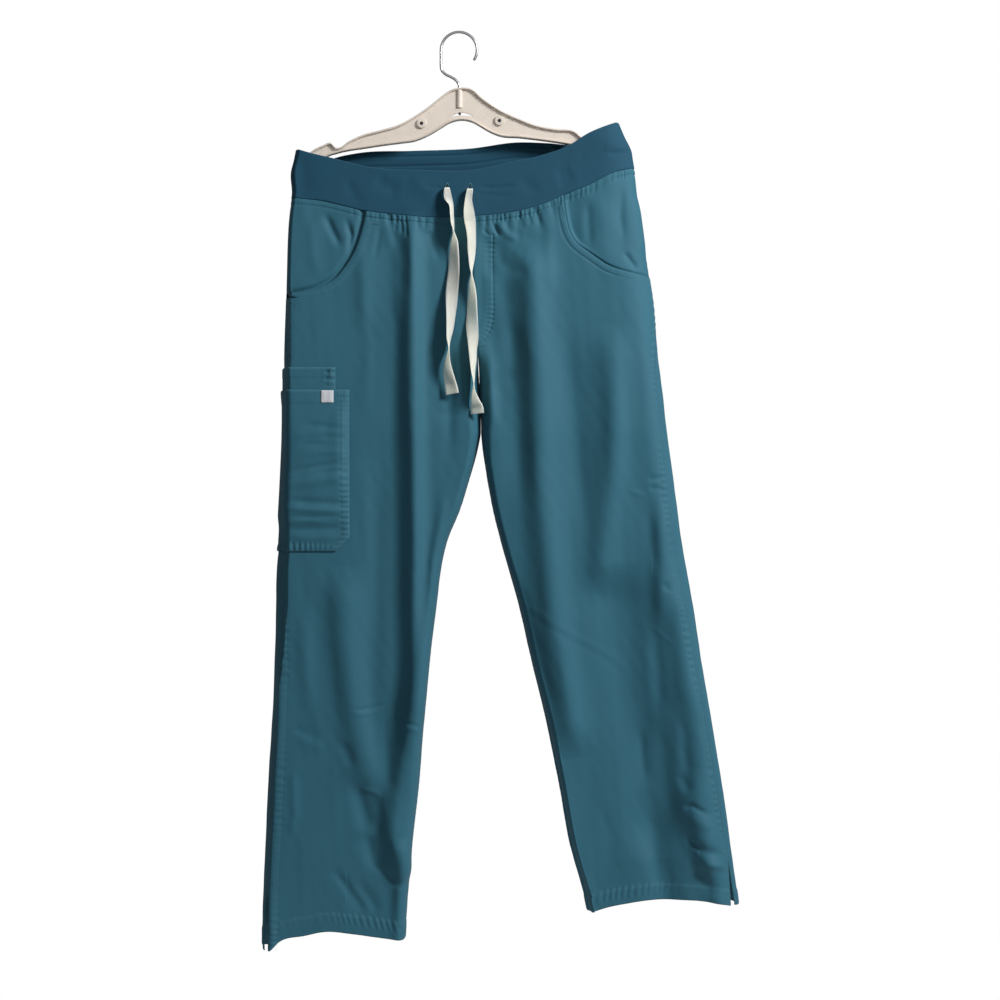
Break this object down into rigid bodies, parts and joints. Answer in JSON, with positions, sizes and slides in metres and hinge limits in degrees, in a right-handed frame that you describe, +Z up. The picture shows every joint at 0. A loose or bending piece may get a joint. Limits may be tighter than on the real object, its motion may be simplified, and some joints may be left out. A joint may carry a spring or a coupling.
{
  "type": "scrub trousers on a hanger",
  "caption": "Teal medical scrub trousers with a knit waistband, tape drawstring and thigh cargo pocket, hanging from a clear plastic hanger.",
  "frame": {"origin": "underside of the top of the hanger's hook, where it bears on a rail", "axes": "+Z up, the front of the trousers faces -Y, +X towards the wearer's left leg"},
  "size_m": [0.6192, 0.0945, 1.1915],
  "materials": {
    "cloth": "fine twill, matt",
    "band": "knit over elastic, matt",
    "tape": "cream cotton tape",
    "tag": "grey satin weave",
    "clear": "clear moulded polystyrene",
    "wire": "plated steel wire"
  },
  "bodies": {
    "root": {"front_right": "cloth", "front_left": "cloth", "back_right": "cloth", "back_left": "cloth", "waistband_front": "band", "waistband_back": "band", "pocket_facing_right": "cloth", "pocket_facing_left": "cloth", "cargo_pocket_inner": "cloth", "cargo_pocket_outer": "cloth", "pocket_tag": "tag", "drawstring_right": "tape", "drawstring_left": "tape", "hanger_body": "clear", "hanger_hook": "wire"}
  },
  "joints": []
}
